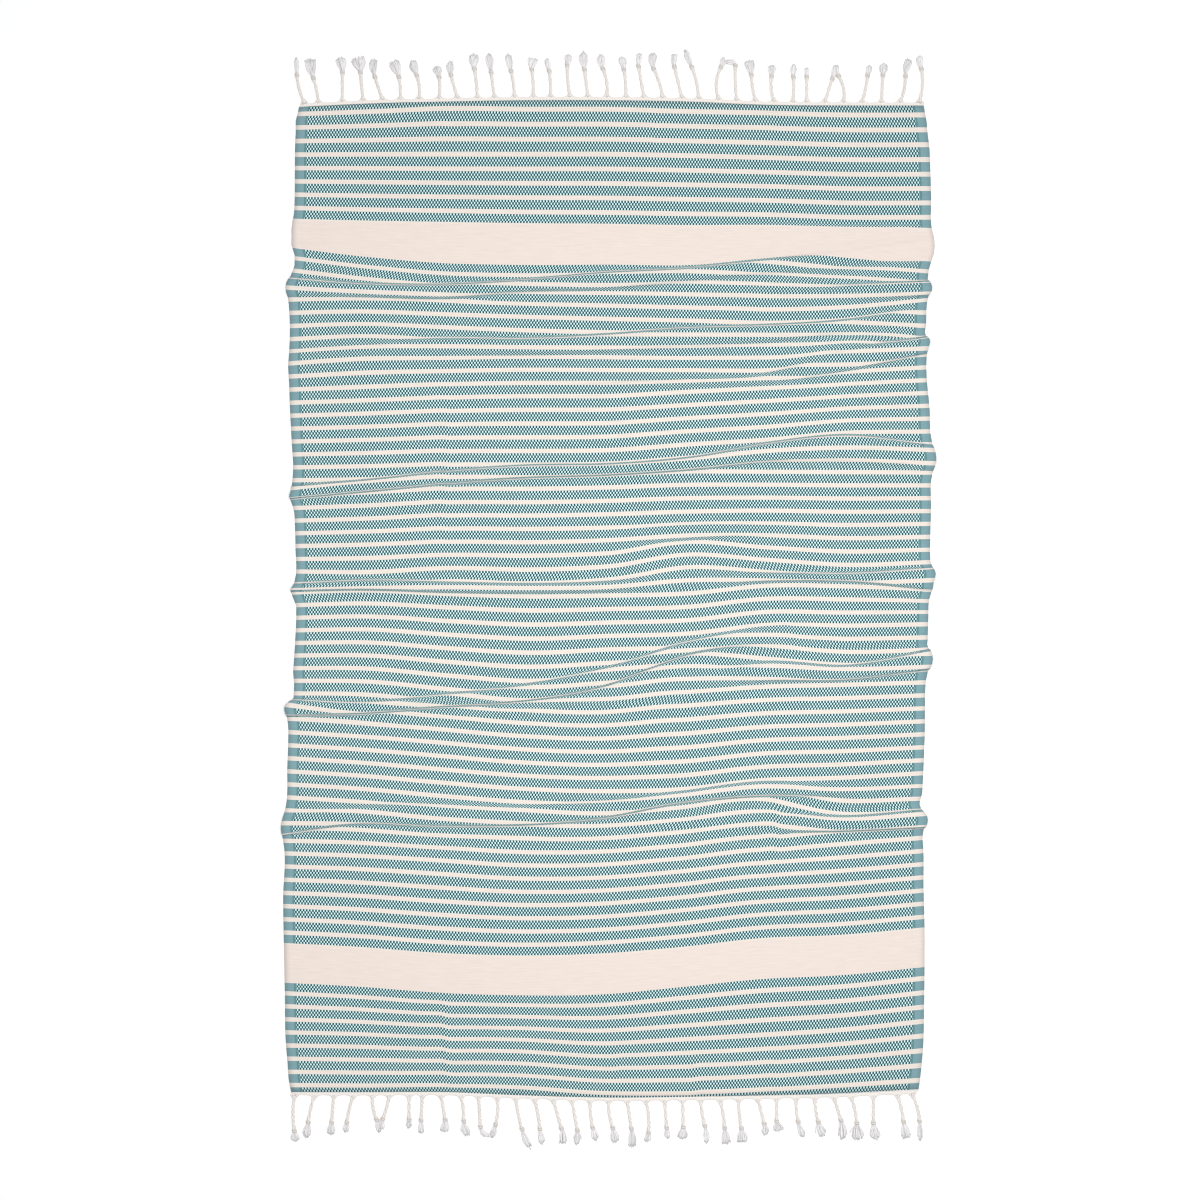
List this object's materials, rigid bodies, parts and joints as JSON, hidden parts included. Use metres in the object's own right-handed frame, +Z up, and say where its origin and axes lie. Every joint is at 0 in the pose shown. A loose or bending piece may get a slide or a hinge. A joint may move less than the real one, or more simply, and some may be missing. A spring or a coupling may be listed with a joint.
{
  "type": "hammam towel",
  "caption": "Flat-woven cotton hammam towel, lying face up with low creases across it and a comb of knotted tassels along each end.",
  "frame": {"origin": "under the middle of the towel's bounding box, on the surface that it lies on", "axes": "+X across the towel to the right, +Y along it to the head end, +Z up from the surface"},
  "size_m": [0.9782, 1.648, 0.0085],
  "materials": {
    "cloth_weave": "matte flat weave, teal and cream weft stripes",
    "fringe_yarn": "matte twisted cotton yarn"
  },
  "bodies": {
    "root": {"cloth": "cloth_weave", "head_fringe": "fringe_yarn", "foot_fringe": "fringe_yarn"}
  },
  "joints": []
}
